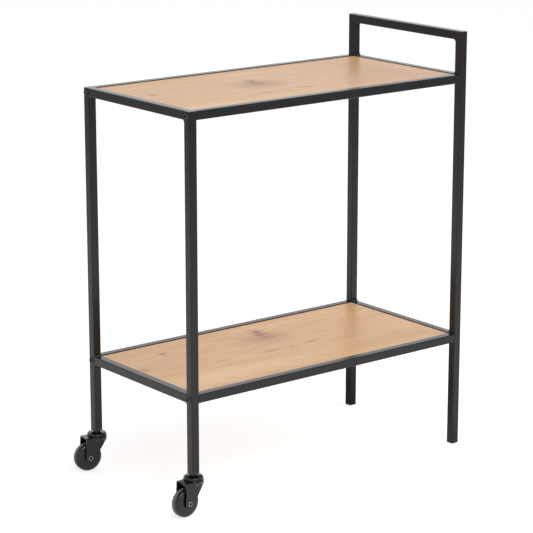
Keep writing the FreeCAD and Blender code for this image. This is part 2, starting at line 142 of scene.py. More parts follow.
def roundedPath(points, radii, steps):
    # A closed path whose corners are arcs, each touching both of its corner's sides. With half the corner's
    # angle h, the arc's centre is radius/sin(h) from the corner and its ends are radius/tan(h) from it.
    nearlyStraight = 1.56   # half angle in radians from which a corner stays as it is
    points = np.array(points, float)
    runs = []
    for i, radius in enumerate(radii):
        corner = points[i]
        back = points[i - 1] - corner
        ahead = points[(i + 1) % len(points)] - corner
        back /= np.linalg.norm(back)
        ahead /= np.linalg.norm(ahead)
        half = math.acos(np.clip(back @ ahead, -1, 1)) / 2
        if radius == 0 or half > nearlyStraight:
            runs.append(corner[None])
            continue
        middle = (back + ahead) / np.linalg.norm(back + ahead)
        centre = corner + middle * radius / math.sin(half)
        first = corner + back * radius / math.tan(half) - centre
        last = corner + ahead * radius / math.tan(half) - centre
        turn = np.linspace(0, math.pi - 2 * half, steps)[:, None]
        whole = math.pi - 2 * half
        runs.append(centre + (first * np.sin(whole - turn) + last * np.sin(turn)) / math.sin(whole))
    return np.vstack(runs)


def spin(profile, origin, axis, count):
    # A profile of (radius, height) carried round an axis by a turn a:
    # origin + axis*height + radius*(side*cos(a) + other*sin(a))
    axis = np.array(axis, float)
    upright = abs(axis[2]) > abs(axis[0])
    side = np.cross(axis, (1, 0, 0) if upright else (0, 0, 1))
    side /= np.linalg.norm(side)
    other = np.cross(axis, side)
    turn = np.linspace(0, 2 * math.pi, count, endpoint=False)
    ring = np.outer(np.cos(turn), side) + np.outer(np.sin(turn), other)
    return np.array(origin) + profile[:, None, 1:] * axis + profile[:, None, :1] * ring


# Tools for materials

def toLinear(hexCode):
    # An sRGB hex colour as the linear values that a socket takes
    srgb = np.array([int(hexCode[i:i + 2], 16) for i in (1, 3, 5)]) / 255
    linear = np.where(srgb <= 0.04045, srgb / 12.92, ((srgb + 0.055) / 1.055) ** 2.4)
    return (*linear.tolist(), 1.0)


def add(tree, kind, links=None, out=0, **settings):
    # Adds one node with its settings, values and links, and returns one of its outputs. A Mix node takes
    # its factor on socket 0, numbers on 2 and 3 and colours on 6 and 7, and gives a colour on output 2.
    node = tree.nodes.new("ShaderNode" + kind)
    for name, value in settings.items():
        setattr(node, name, value)
    for socket, value in (links or {}).items():
        if isinstance(value, bpy.types.NodeSocket):
            tree.links.new(value, node.inputs[socket])
        else:
            node.inputs[socket].default_value = value
    return node.outputs[out] if len(node.outputs) else node


def newMaterial(name):
    material = bpy.data.materials.new(name)
    material.use_nodes = True
    material.node_tree.nodes.clear()
    return material


def millimetres(tree, shift=(0, 0, 0)):
    # Object coordinates in millimetres, so that every scale below is a real size
    place = add(tree, "TexCoord", out="Object")
    return add(tree, "Mapping", {"Vector": place, "Scale": (1 / mm,) * 3, "Location": shift})


def stretchedNoise(tree, point, size, detail=2.0, roughness=0.5):
    # Noise whose grains are about size (x, y, z) millimetres across
    scaled = add(tree, "VectorMath", {0: point, 1: tuple(1 / s for s in size)}, operation="MULTIPLY")
    return add(tree, "TexNoise", {"Vector": scaled, "Scale": 1.0, "Detail": detail, "Roughness": roughness})


noiseSpan = {"From Min": 0.3, "From Max": 0.7}   # nearly all of a noise's values lie in between


def surfaceFinish(name, look):
    # A coat, a moulding or a bare metal: slight mottling, uneven gloss and a fine skin.
    # Sizes in a look are millimetres across, and depth is how far the skin stands out.
    material = newMaterial(name)
    tree = material.node_tree
    point = millimetres(tree)
    mottle = stretchedNoise(tree, point, (look["mottle"],) * 3, 3.0)
    colour = add(tree, "Mix", {0: mottle, 6: toLinear(look["dark"]), 7: toLinear(look["light"])},
                 out=2, data_type="RGBA")
    low, high = look["roughness"]
    gloss = add(tree, "MapRange", {"Value": mottle, **noiseSpan, "To Min": low, "To Max": high})
    if "paintedLight" in look:
        # Painted light or shade, as marked on the piece's mesh, with its own roughness: a painted sheen on
        # a wheel's running band, painted shade in a rivet's bore
        share = add(tree, "Attribute", out="Fac", attribute_name="paintedLight")
        colour = add(tree, "Mix", {0: share, 6: colour, 7: toLinear(look["paintedLight"])}, out=2, data_type="RGBA")
        gloss = add(tree, "Mix", {0: share, 2: gloss, 3: look["paintedLightRoughness"]})
    skin = stretchedNoise(tree, point, (look["skin"],) * 3, 1.0)
    bump = add(tree, "Bump", {"Height": skin, "Strength": look["strength"], "Distance": look["depth"] * mm})
    sockets = {"Base Color": colour, "Roughness": gloss, "Normal": bump,
               "Metallic": look["metallic"], "IOR": look["ior"]}
    if "film" in look:
        sockets.update({"Coat Weight": look["film"], "Coat Roughness": look["filmRoughness"]})
    add(tree, "OutputMaterial", {"Surface": add(tree, "BsdfPrincipled", sockets)})
    return material


# Black polyester powder coat, sprayed and baked: satin, with a faint orange-peel skin. Its resin lies
# over the pigment as a clear film, which turns pale where it is seen nearly edge on. The film gives the
# shine, so what lies under it has a low IOR.
powderLook = {"dark": "#0a090e", "light": "#100f15", "mottle": 40, "roughness": (0.26, 0.32),
              "skin": 1.6, "depth": 0.02, "strength": 0.25, "metallic": 0.0, "ior": 1.25,
              "film": 0.52, "filmRoughness": 0.2}

# Gloss black enamel on pressed steel, dipped: dark and wet-looking, with sharp highlights in its clear
# film, and a low IOR under it
enamelLook = {"dark": "#040405", "light": "#070708", "mottle": 12, "roughness": (0.07, 0.11),
              "skin": 1.2, "depth": 0.012, "strength": 0.2, "metallic": 0.0, "ior": 1.2,
              "film": 0.75, "filmRoughness": 0.06}

# Black polypropylene, moulded: a soft sheen with slight flow marks, and a duller running surface with a
# band painted paler as a painted sheen
wheelLook = {"dark": "#101011", "light": "#161618", "mottle": 9, "roughness": (0.12, 0.17),
             "skin": 0.8, "depth": 0.02, "strength": 0.3, "metallic": 0.0, "ior": 1.47,
             "paintedLight": "#67625a", "paintedLightRoughness": 0.45}

# Black polyethylene, moulded: duller than the coat beside it
plugLook = {"dark": "#25242a", "light": "#2e2d34", "mottle": 6, "roughness": (0.42, 0.52),
            "skin": 0.7, "depth": 0.02, "strength": 0.3, "metallic": 0.0, "ior": 1.51}

# Black oxide on steel, dipped: a dark metal with a weak satin shine
oxideLook = {"dark": "#3e3e41", "light": "#4e4e52", "mottle": 3, "roughness": (0.34, 0.46),
             "skin": 0.6, "depth": 0.01, "strength": 0.3, "metallic": 1.0, "ior": 1.5}

# Zinc plate on steel, barrel plated: pale grey and slightly cloudy
zincLook = {"dark": "#a4a6a8", "light": "#c6c8c8", "mottle": 2.5, "roughness": (0.22, 0.36),
            "skin": 0.5, "depth": 0.01, "strength": 0.3, "metallic": 1.0, "ior": 1.5}

# Nickelled rivet, closed by a press: greyer than the zinc, polished by the tool, with painted shade in its
# bore
rivetLook = {"dark": "#989693", "light": "#b4b2af", "mottle": 2, "roughness": (0.2, 0.32),
             "skin": 0.5, "depth": 0.01, "strength": 0.3, "metallic": 1.0, "ior": 1.5,
             "paintedLight": "#1b1a19", "paintedLightRoughness": 0.5}

# Bearing steel, ground and oiled: brighter and smoother than the plate
bearingLook = {"dark": "#9c9c9a", "light": "#b4b4b1", "mottle": 4, "roughness": (0.12, 0.2),
               "skin": 0.4, "depth": 0.005, "strength": 0.2, "metallic": 1.0, "ior": 1.5}

powderCoat = surfaceFinish("powder coated steel", powderLook)
glossEnamel = surfaceFinish("gloss enamelled pressing", enamelLook)
mouldedWheel = surfaceFinish("moulded polypropylene", wheelLook)
mouldedPlug = surfaceFinish("moulded polyethylene", plugLook)
blackOxide = surfaceFinish("black oxide steel", oxideLook)
zincPlate = surfaceFinish("zinc plated steel", zincLook)
bearingSteel = surfaceFinish("ground bearing steel", bearingLook)
pressedRivet = surfaceFinish("nickelled rivet steel", rivetLook)
print("metal and plastic materials made")


# Oak decor foil on board: printed oak under a satin melamine face with a light pore emboss.
# Places are millimetres on the print; each board shows another cut of the same print.

oak = {
    "light": "#e4bb8a",
    "tan": "#d5a673",
    "rosy": "#dcae88",
    "pale": "#efcb9a",
    "late": "#bd8a5c",
    "fibre": "#b88658",
    "pore": "#8f6342",
    "stain": "#ab7452",
    "core": "#7c4b36",
    # x, y, half length, half width, push of the grain
    "knots": ((28, 64, 60, 40, 26), (-177, 76, 22, 12, 7), (-14, -21, 24, 10, 5),
              (29, -26, 16, 9, 4), (79, -19, 22, 10, 5), (-258, 20, 20, 12, 6)),
    # x, y, half length, half width, depth of colour
    "stains": ((26, 52, 50, 34, 0.62), (34, 80, 18, 30, 0.4), (-177, 76, 9, 9, 0.7),
               (-15, -21, 26, 6, 0.5), (29, -26, 12, 7, 0.4), (79, -19, 20, 7, 0.45),
               (-256, 20, 12, 12, 0.6), (-117, -18, 18, 5, 0.35), (-166, -103, 12, 5, 0.4)),
    "cores": ((36, 86, 5, 15, 0.66), (29, 66, 5, 14, 0.62), (24, 48, 12, 8, 0.3),
              (-177, 77, 4, 6, 0.7), (-12, -21, 8, 2.6, 0.35), (80, -18, 7, 2.4, 0.3),
              (29, -26, 5, 3, 0.25)),
    "bands": ((-190, -84, 190, 34, 0.75), (-60, 50, 210, 10, -0.3), (220, -95, 90, 26, -0.5)),
    "blushes": ((90, 40, 260, 90, 0.5), (260, -20, 160, 90, 0.6), (-240, 20, 60, 40, 0.3)),
    # How far lines wander, and the size of the wandering along and across the board
    "wander": (22, 14), "wanderSize": (60, 24),
    # Size along, across and through the board, noise detail and roughness of each pattern
    "tone": ((170, 24, 100), 2.5, 0.5),
    "rings": ((110, 5.0, 100), 3.0, 0.6),
    "fibres": ((42, 1.4, 100), 4.0, 0.7),
    "pores": ((11, 0.8, 100), 2.0, 0.6),   # wider than real ones of 0.3 mm, which wouldn't show
    "bend": ((190, 46, 100), 1.0, 0.5),
    "ringPitch": 11, "ringBend": 4.4,
    # Where each pattern starts and is full, and how much it then shows
    "lateLine": {"From Min": 0.34, "From Max": 0.5},
    "lateFade": {"From Min": 0.42, "From Max": 0.62, "To Min": 0.05, "To Max": 0.5},
    "ringShare": {"From Min": 0.5, "From Max": 0.78, "To Max": 0.6},
    "fibreShare": {"From Min": 0.5, "From Max": 0.8, "To Max": 0.4},
    "poreShare": {"From Min": 0.62, "From Max": 0.74, "To Max": 0.5},
    "breakUp": {**noiseSpan, "To Min": 0.65, "To Max": 1.25},
    "gloss": {**noiseSpan, "To Min": 0.33, "To Max": 0.40},
    "reliefDepth": 0.04, "reliefStrength": 0.35, "fibreRelief": 0.25, "ior": 1.5,
    # The cut of the print that each board shows, and how rosy it is
    "lowerCut": ((0, 0, 0), 0.4), "topCut": ((55, 56, 0), 1.5),
}

# How far a spot has faded at its written half length and width, from 0 at its middle to 1 at its end
spotRim = 0.6


def spots(tree, point, places):
    # The sum of soft ellipses: each has its full strength at the middle and fades to nothing past its rim
    total = None
    for x, y, halfLength, halfWidth, strength in places:
        away = add(tree, "VectorMath", {0: point, 1: (x, y, 0)}, operation="SUBTRACT")
        shape = add(tree, "VectorMath", {0: away, 1: (spotRim / halfLength, spotRim / halfWidth, 0)},
                    operation="MULTIPLY")
        far = add(tree, "VectorMath", {0: shape}, out="Value", operation="LENGTH")
        spot = add(tree, "MapRange", {"Value": far, "From Min": 0.0, "From Max": 1.0, "To Min": strength,
                                      "To Max": 0.0}, interpolation_type="SMOOTHERSTEP")
        total = spot if total is None else add(tree, "Math", {0: total, 1: spot}, operation="ADD")
    return total


def oakPoints(tree, shift):
    # Places on the print in millimetres: wandering a little as printed wood does, and then pushed across
    # the grain by every knot
    plain = millimetres(tree, shift)
    alongSize, acrossSize = oak["wanderSize"]
    scaled = add(tree, "VectorMath", {0: plain, 1: (1 / alongSize, 1 / acrossSize, 0)},
                 operation="MULTIPLY")
    wander = add(tree, "TexNoise", {"Vector": scaled, "Scale": 1.0, "Detail": 4.0}, out=1)
    drift = add(tree, "VectorMath", {0: wander, 1: (0.5, 0.5, 0.5)}, operation="SUBTRACT")
    step = add(tree, "VectorMath", {0: drift, 1: (*oak["wander"], 0)}, operation="MULTIPLY")
    point = add(tree, "VectorMath", {0: plain, 1: step}, operation="ADD")
    push = add(tree, "CombineXYZ", {"Y": spots(tree, point, oak["knots"])})
    return point, add(tree, "VectorMath", {0: point, 1: push}, operation="ADD")


def lateWood(tree, point, pushed):
    # The dark edge of each growth ring: narrow lines at an even pitch across the board, bent by a noise
    across = add(tree, "SeparateXYZ", {0: pushed}, out=1)
    pitched = add(tree, "Math", {0: across, 1: 1 / oak["ringPitch"]}, operation="MULTIPLY")
    bend = stretchedNoise(tree, point, *oak["bend"])
    phase = add(tree, "Math", {0: bend, 1: oak["ringBend"], 2: pitched}, operation="MULTIPLY_ADD")
    wave = add(tree, "Math", {0: phase, 1: 0.5}, operation="PINGPONG")
    return add(tree, "MapRange", {"Value": wave, **oak["lateLine"]}, interpolation_type="SMOOTHSTEP")


def oakDecor(name, shift, rosiness):
    # A ground between tan and light, over which each paint of the print is laid by its own share
    material = newMaterial(name)
    tree = material.node_tree
    point, pushed = oakPoints(tree, shift)
    # Broad tone, growth rings, fibres and pores, each long along the board and narrow across it
    patterns = ("tone", "rings", "fibres", "pores")
    tone, rings, fibres, pores = (stretchedNoise(tree, pushed, *oak[key]) for key in patterns)
    fade = add(tree, "MapRange", {"Value": tone, **oak["lateFade"]})
    late = add(tree, "Math", {0: lateWood(tree, point, pushed), 1: fade}, operation="MULTIPLY")
    ringShare = add(tree, "MapRange", {"Value": rings, **oak["ringShare"]})
    fibreShare = add(tree, "MapRange", {"Value": fibres, **oak["fibreShare"]})
    poreShare = add(tree, "MapRange", {"Value": pores, **oak["poreShare"]})
    # Stains and knot hearts break up along the fibres
    grainy = add(tree, "MapRange", {"Value": rings, **oak["breakUp"]})
    marks = (("stains", grainy), ("cores", grainy), ("blushes", rosiness))
    stain, core, blush = (add(tree, "Math", {0: spots(tree, point, oak[key]), 1: much},
                              operation="MULTIPLY", use_clamp=True) for key, much in marks)
    # Bands are pale where they are positive and tan where they are negative
    bands = spots(tree, point, oak["bands"])
    turned = add(tree, "Math", {0: bands, 1: -1.0}, operation="MULTIPLY")
    paleShare, darkShare = (add(tree, "Math", {0: band, 1: 0.0}, operation="MAXIMUM")
                            for band in (bands, turned))
    lightness = add(tree, "MapRange", {"Value": tone, **noiseSpan})
    colour = add(tree, "Mix", {0: lightness, 6: toLinear(oak["tan"]), 7: toLinear(oak["light"])},
                 out=2, data_type="RGBA")
    layers = ((blush, "rosy"), (paleShare, "pale"), (darkShare, "tan"), (late, "late"), (ringShare, "late"),
              (fibreShare, "fibre"), (poreShare, "pore"), (stain, "stain"), (core, "core"))
    for share, paint in layers:
        colour = add(tree, "Mix", {0: share, 6: colour, 7: toLinear(oak[paint])}, out=2, data_type="RGBA")
    gloss = add(tree, "MapRange", {"Value": fibres, **oak["gloss"]})
    raised = add(tree, "Math", {0: fibres, 1: oak["fibreRelief"]}, operation="MULTIPLY")
    relief = add(tree, "Math", {0: poreShare, 1: -1.0, 2: raised}, operation="MULTIPLY_ADD")
    bump = add(tree, "Bump", {"Height": relief, "Strength": oak["reliefStrength"],
                              "Distance": oak["reliefDepth"] * mm})
    shader = add(tree, "BsdfPrincipled", {"Base Color": colour, "Roughness": gloss, "Normal": bump,
                                          "IOR": oak["ior"]})
    add(tree, "OutputMaterial", {"Surface": shader})
    return material


lowerOak = oakDecor("oak decor foil, lower board", *oak["lowerCut"])
topOak = oakDecor("oak decor foil, top board", *oak["topCut"])
print("oak decor made")


# What each node is finished with, by the end of its name. A later match wins, and the rest is powder coat.
finishes = {
    "_shelf_board": lowerOak, "top_shelf_board": topOak,
    "_foot": mouldedPlug, "_leg_plug": mouldedPlug, "_inserts": zincPlate, "_screws": zincPlate,
    "_bolts": blackOxide, "_stem": zincPlate, "_lower_race": zincPlate, "_balls": bearingSteel,
    "_dome": glossEnamel, "_fork": glossEnamel, "_rivet": zincPlate, "_caster_wheel": mouldedWheel,
}


def finishNodes():
    for name, node in nodes.items():
        material = powderCoat
        for ending, finish in finishes.items():
            if name.endswith(ending):
                material = finish
        node.data.materials.clear()
        node.data.materials.append(material)


finishNodes()
print("frame nodes finished")


# Casters. Each is worked out about its own stem, with x ahead of the stem, y across and z up.

joints = {joint["name"]: joint for joint in frame["joints"]}


def casterPlace(side):
    # The stem's foot and the directions ahead and across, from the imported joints
    pivot = np.array(joints[side + "_caster_swivel"]["pos_m"])
    hub = np.array(joints[side + "_wheel_roll"]["pos_m"])
    back = (hub - pivot) * (1, 1, 0)
    trail = np.linalg.norm(back)
    ahead = -back / trail
    across = np.array((-ahead[1], ahead[0], 0))
    return {"pivot": pivot * (1, 1, 0), "hub": hub, "trail": trail, "ahead": ahead, "across": across}


def placed(points, place):
    # Points of a caster's own frame, set under its leg: pivot + x*ahead + y*across + z*up
    up = np.array((0, 0, 1))
    return (place["pivot"] + points[..., :1] * place["ahead"]
            + points[..., 1:2] * place["across"] + points[..., 2:] * up)


def dress(piece, material, body, slot, *replaced):
    # Gives a new piece its finish and its body, and hides any node that it stands for. Its slot is not
    # used.
    piece.data.materials.clear()
    piece.data.materials.append(material)
    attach(piece, body)
    if replaced:
        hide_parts(*replaced)


domeSize = {
    "bore": 4.03, "neck": 6.4, "neckHeight": 4.8, "neckEdge": 0.4, "neckFoot": 0.9,
    "shoulder": 17.0, "skirt": 1.5, "slope": 5.0, "corner": 3.6, "rimRoll": 0.7, "tuckShare": 0.4,
    "wall": 1.8, "boss": 7.5, "race": 65.3, "around": 128, "arcSteps": 16, "rollSteps": 10, "sharp": 40,
}


def makeDome(side):
    # A pressed cover turned round the stem: neck, sloping crown, round corner, skirt with a rolled edge.
    # The profile goes out from the bore over the top, down to the rim and back inside, round the ball race.
    # The rolled edge is half a circle: rimRoll*cos(a) out and rimRoll*sin(a) up from its middle.
    d = domeSize
    node = side + "_caster_bearing_dome"
    low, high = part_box(node)
    bottom, top = low.z / mm, high.z / mm
    rimTop = bottom + d["skirt"]
    reach = d["shoulder"] - d["rimRoll"] * d["tuckShare"]
    crownTop = top - d["neckHeight"]
    fall = (reach - d["neck"]) * math.tan(math.radians(d["slope"]))
    crown = roundedPath([(d["bore"], top), (d["neck"], top), (d["neck"], crownTop),
                         (reach, crownTop - fall), (reach, rimTop)],
                        (0, d["neckEdge"], d["neckFoot"], d["corner"], 0), d["arcSteps"])
    turn = np.linspace(math.pi / 2, -math.pi / 2, d["rollSteps"])
    roll = np.stack([d["shoulder"] - d["rimRoll"] + d["rimRoll"] * np.cos(turn),
                     bottom + d["rimRoll"] + d["rimRoll"] * np.sin(turn)], -1)
    inside = np.array([(d["shoulder"] - d["wall"], bottom), (d["shoulder"] - d["wall"], d["race"]),
                       (d["boss"], d["race"]), (d["boss"], bottom), (d["bore"], bottom)])
    profile = np.vstack([crown, roll, inside]) * mm
    place = casterPlace(side)
    turned = spin(profile, place["pivot"], (0, 0, 1), d["around"])
    piece = makePiece(side + "BearingCover", [(turned, True, True)], d["sharp"])
    dress(piece, glossEnamel, "trolley_frame", "caster_black", node)


wheelSize = {
    "bore": 3.08, "boss": 7.4, "bossBevel": 0.9, "bossHalf": 10.6, "webHalf": 9.3,
    "webReach": 10.5, "rim": 16.6, "rimHalf": 9.0, "shoulder": 4.8, "shoulderFall": 7.4,
    "radius": 25.0, "draft": 0.5, "ridge": 1.2, "rimRound": 3.0, "webRound": 2.0, "bossRise": 0.1,
    "bossFoot": 0.4, "boreEdge": 0.3,
    "around": 144, "treadSteps": 41, "shoulderSteps": 10, "arcSteps": 7, "sharp": 34,
    # The band of painted sheen: its middle and half width across the tread, and how softly it ends
    "bandPlace": 1.4, "bandHalf": 3.4, "bandFade": 0.5, "bandDepth": (1.9, 1.1),
}


def makeWheel(side):
    # A moulded section turned round the axle: drafted tread, elliptic shoulders, flat faces, boss.
    # A shoulder's radius is edge - shoulderFall*(1 - cos(a)), and its height is flat + shoulder*sin(a).
    w = wheelSize
    half = w["rimHalf"]
    edge = w["radius"] - w["draft"]
    flat = half - w["shoulder"]
    # The tread falls away from its middle line on both sides, by a hyperbola that is straight but for its
    # ridge: sqrt(y^2 + ridge^2) - ridge, as a share of its value at the edge
    across = np.linspace(-flat, flat, w["treadSteps"])
    whole = math.hypot(flat, w["ridge"]) - w["ridge"]
    fall = (np.sqrt(across ** 2 + w["ridge"] ** 2) - w["ridge"]) / whole
    tread = np.stack([w["radius"] - w["draft"] * fall, across], -1)
    turn = np.linspace(0, math.pi / 2, w["shoulderSteps"])[1:]
    shoulder = np.stack([edge - w["shoulderFall"] * (1 - np.cos(turn)),
                         flat + w["shoulder"] * np.sin(turn)], -1)
    face = roundedPath(
        [(edge - w["shoulderFall"], half), (w["rim"], half), (w["webReach"], w["webHalf"]),
         (w["boss"], w["webHalf"] + w["bossRise"]), (w["boss"], w["bossHalf"]),
         (w["bore"], w["bossHalf"]), (w["bore"], 0)],
        (0, w["rimRound"], w["webRound"], w["bossFoot"], w["bossBevel"], w["boreEdge"], 0),
        w["arcSteps"])[1:]
    sideOne = np.vstack([shoulder, face])
    sideTwo = sideOne[::-1] * (1, -1)
    profile = np.vstack([tread, sideOne, sideTwo[1:]]) * mm
    node = side + "_caster_wheel"
    place = casterPlace(side)
    axis = np.array(joints[side + "_wheel_roll"]["axis"])
    turned = spin(profile, place["hub"], axis, w["around"])
    piece = makePiece(side + "CasterWheel", [(turned, True, True)], w["sharp"])
    radius, height = aboutAxle(piece.data, place["hub"], axis)
    # Painted sheen on the band that runs on the floor, by distance from the axle and across the tread
    deep, shallow = w["bandDepth"]
    outside = smoothStep(w["radius"] - deep, w["radius"] - shallow, radius)
    away = np.abs(height - w["bandPlace"])
    beside = smoothStep(w["bandHalf"] - w["bandFade"], w["bandHalf"] + w["bandFade"], away)
    markPaintedLight(piece.data, outside * (1 - beside))
    dress(piece, mouldedWheel, side + "_caster_wheel", "wheel_black", node)


def aboutAxle(mesh, hub, axis):
    # Each vertex's distance from the axle's line and its place along it, in millimetres
    points = np.empty(len(mesh.vertices) * 3)
    mesh.vertices.foreach_get("co", points)
    away = points.reshape(-1, 3) - hub
    height = away @ axis
    return np.linalg.norm(away - height[:, None] * axis, axis=1) / mm, height / mm


def markPaintedLight(mesh, share):
    # How much painted light or shade each vertex takes, from 0 to 1, for the finish to read
    mesh.attributes.new("paintedLight", "FLOAT", "POINT").data.foreach_set("value", share)


rivetSize = {
    "bore": 2.6, "shank": 3.0, "flange": 4.15, "grip": 13.0, "height": 1.1, "curl": 0.8,
    "boreShade": (0.1, 0.3), "around": 64, "lipSteps": 19, "sharp": 40,
}


def makeRivet(side):
    # A tube with a curled lip at each end, turned round the axle. The lip's section is half an ellipse,
    # filled out by a power: radius = middle + wide*cos(a), height = grip + height*sin(a)^curl.
    r = rivetSize
    middle = (r["bore"] + r["flange"]) / 2
    wide = (r["flange"] - r["bore"]) / 2
    turn = np.linspace(0, math.pi, r["lipSteps"])
    lip = np.stack([middle + wide * np.cos(turn),
                    r["grip"] + r["height"] * np.sin(turn) ** r["curl"]], -1)
    half = np.vstack([(r["shank"], 0), (r["shank"], r["grip"]), lip, (r["bore"], 0)])
    other = half[::-1] * (1, -1)
    profile = np.vstack([half, other[1:-1]]) * mm
    node = side + "_caster_axle_rivet"
    place = casterPlace(side)
    axis = np.array(joints[side + "_wheel_roll"]["axis"])
    turned = spin(profile, place["hub"], axis, r["around"])
    piece = makePiece(side + "AxleRivet", [(turned, True, True)], r["sharp"])
    # Painted shade in the bore and just round its mouth
    radius = aboutAxle(piece.data, place["hub"], axis)[0]
    near, far = r["boreShade"]
    markPaintedLight(piece.data, 1 - smoothStep(r["bore"] + near, r["bore"] + far, radius))
    dress(piece, pressedRivet, side + "_caster_fork", "rivet_steel", node)


forkSize = {
    "sheet": 2.0, "halfWidth": 13.0, "bend": 3.0, "lipBend": 2.3, "heel": 7.0, "endRadius": 9.0,
    "plate": 17.5, "lip": 4.0, "shoulderDrop": 6.0, "blend": 2.2, "stemHole": 4.08, "axleHole": 3.04,
    "bulgeFrom": 3.2, "bulgeTo": 9.0, "edge": 0.35,
    # Between which places ahead of the stem the blend fades out and the fold tightens to the lip's bend
    "blendFades": (-9.0, 2.0), "foldTightens": (-14.0, -4.0),
    # Shares of the columns: along the straight side, then of these round the axle end, and into the lip
    "sideShare": 0.36, "endShare": 0.42, "lipShare": 0.05,
    "columns": 110, "topRows": 8, "foldRows": 8, "wallRows": 25,
    "edgeSteps": 2, "edgeAngle": 50, "sharp": 40, "drillReach": 1.5, "drillSides": 48,
}


def plateJoin():
    # Where the straight side would meet the round plate: X from the stem, and its angle from straight ahead
    f = forkSize
    x = -math.sqrt(f["plate"] ** 2 - f["halfWidth"] ** 2)
    return x, math.atan2(f["halfWidth"], x)


def forkPlan(t, trail):
    # The sheet from above, at shares t of the way from its heel to its front. The outer line is a straight
    # side and then the round plate, with Y = (side + plate + sqrt((side - plate)^2 + blend^2)) / 2 where
    # they meet. The inner line is the sheet's middle and then the stem's hole.
    f = forkSize
    share = f["sideShare"]
    onSide = t < share
    straight = np.clip(t / share, 0, 1)
    remains = 1 - np.clip((t - share) / (1 - share), 0, 1)
    joinX, joinTurn = plateJoin()
    heelX = -trail - f["heel"]
    turn = joinTurn * remains
    planX = np.where(onSide, heelX + (joinX - heelX) * straight, f["plate"] * np.cos(turn))
    behind = np.sqrt(np.clip(f["plate"] ** 2 - planX ** 2, 0, None))
    roundY = np.where(onSide, behind, f["plate"] * np.sin(turn))
    blended = (f["halfWidth"] + roundY + np.sqrt((f["halfWidth"] - roundY) ** 2 + f["blend"] ** 2)) / 2
    planY = roundY + (blended - roundY) * (1 - smoothStep(*f["blendFades"], planX))
    hole = f["stemHole"]
    holeTurn = math.pi * remains
    innerX = np.where(onSide, heelX + (-hole - heelX) * straight, hole * np.cos(holeTurn))
    innerY = np.where(onSide, 0.0, hole * np.sin(holeTurn))
    return np.stack([planX, planY], -1), np.stack([innerX, innerY], -1)


def forkLowerEdge(t, planX, trail, top, hubHeight):
    # The sheet's lower edge from the side: an arc round the axle end, the slanted front edge that touches
    # it, then the lip of the plate. Also the share of the columns at which the lip begins.
    f = forkSize
    share = f["sideShare"]
    joinX, joinTurn = plateJoin()
    hub = np.array((-trail, hubHeight))
    shoulder = np.array((-joinX, top - f["shoulderDrop"]))
    rearTurn = tangentTurn(hub, f["endRadius"], np.array((-trail - f["heel"], top)), 1)
    frontTurn = tangentTurn(hub, f["endRadius"], shoulder, -1)
    frontPoint = hub + f["endRadius"] * np.array((math.cos(frontTurn), math.sin(frontTurn)))
    frontTurn -= 2 * math.pi if frontTurn > 0 else 0
    rearTurn -= 2 * math.pi
    shoulderAt = share + (1 - share) * (1 - math.atan2(f["halfWidth"], -joinX) / joinTurn)
    arcAt = f["endShare"] * shoulderAt
    turn = rearTurn + (frontTurn - rearTurn) * np.clip(t / arcAt, 0, 1)
    arc = hub + f["endRadius"] * np.stack([np.cos(turn), np.sin(turn)], -1)
    rise = np.clip((t - arcAt) / (shoulderAt - arcAt), 0, 1)[:, None]
    slant = frontPoint + (shoulder - frontPoint) * rise
    lower = np.where(t[:, None] < arcAt, arc, slant)
    lipRise = (top - f["lip"] - shoulder[1]) * smoothStep(shoulderAt, shoulderAt + f["lipShare"], t)
    lowerX = np.where(t < shoulderAt, lower[:, 0], planX)
    lowerZ = np.where(t < shoulderAt, lower[:, 1], shoulder[1] + lipRise)
    return lowerX, lowerZ, shoulderAt


def forkHalf(trail, top, hubHeight):
    # One half of the folded sheet's outer face, from the middle of its top over the fold and down.
    # Columns run from the heel to the front of the plate; rows run from the top's middle to the lower edge.
    f = forkSize
    t = np.linspace(0, 1, f["columns"])
    plan, inner = forkPlan(t, trail)
    planX, planY = plan.T
    lowerX, lowerZ, shoulderAt = forkLowerEdge(t, planX, trail, top, hubHeight)
    along = np.gradient(plan, axis=0)
    along /= np.linalg.norm(along, axis=1, keepdims=True)
    outward = np.stack([-along[:, 1], along[:, 0]], -1)
    outward[-1] = (1, 0)   # straight ahead in the middle, where the two halves meet
    bend = f["lipBend"] + (f["bend"] - f["lipBend"]) * (1 - smoothStep(*f["foldTightens"], planX))
    foldStart = plan - outward * bend[:, None]
    # The top, flat: inner + (foldStart - inner)*v
    v = np.linspace(0, 1, f["topRows"], endpoint=False)[:, None, None]
    flat = inner + (foldStart - inner) * v
    topRows = np.dstack([flat, np.full(flat.shape[:2], top)])
    # The fold, a quarter turn: out by bend*sin(a) and down by bend*(1 - cos(a))
    angle = np.linspace(0, math.pi / 2, f["foldRows"])[:, None]
    folded = foldStart + outward * (bend * np.sin(angle))[..., None]
    foldRows = np.dstack([folded, top - bend * (1 - np.cos(angle))])
    # The wall, straight down, with the plate's swell fading below the fold: side + (plan - side)*swell
    v = np.linspace(0, 1, f["wallRows"] + 1)[1:, None]
    z = top - bend + (lowerZ - top + bend) * v
    x = planX + (lowerX - planX) * v
    swell = 1 - smoothStep(f["bulgeFrom"], f["bulgeTo"], top - z)
    sideY = f["halfWidth"] + (planY - f["halfWidth"]) * swell
    y = np.where(t < shoulderAt, sideY, planY)
    return np.vstack([topRows, foldRows, np.stack([x, y, z], -1)])


def tangentTurn(centre, radius, point, side):
    # The angle at which a line from a point touches a circle, on one side
    away = point - centre
    return math.atan2(away[1], away[0]) + side * math.acos(radius / np.linalg.norm(away))


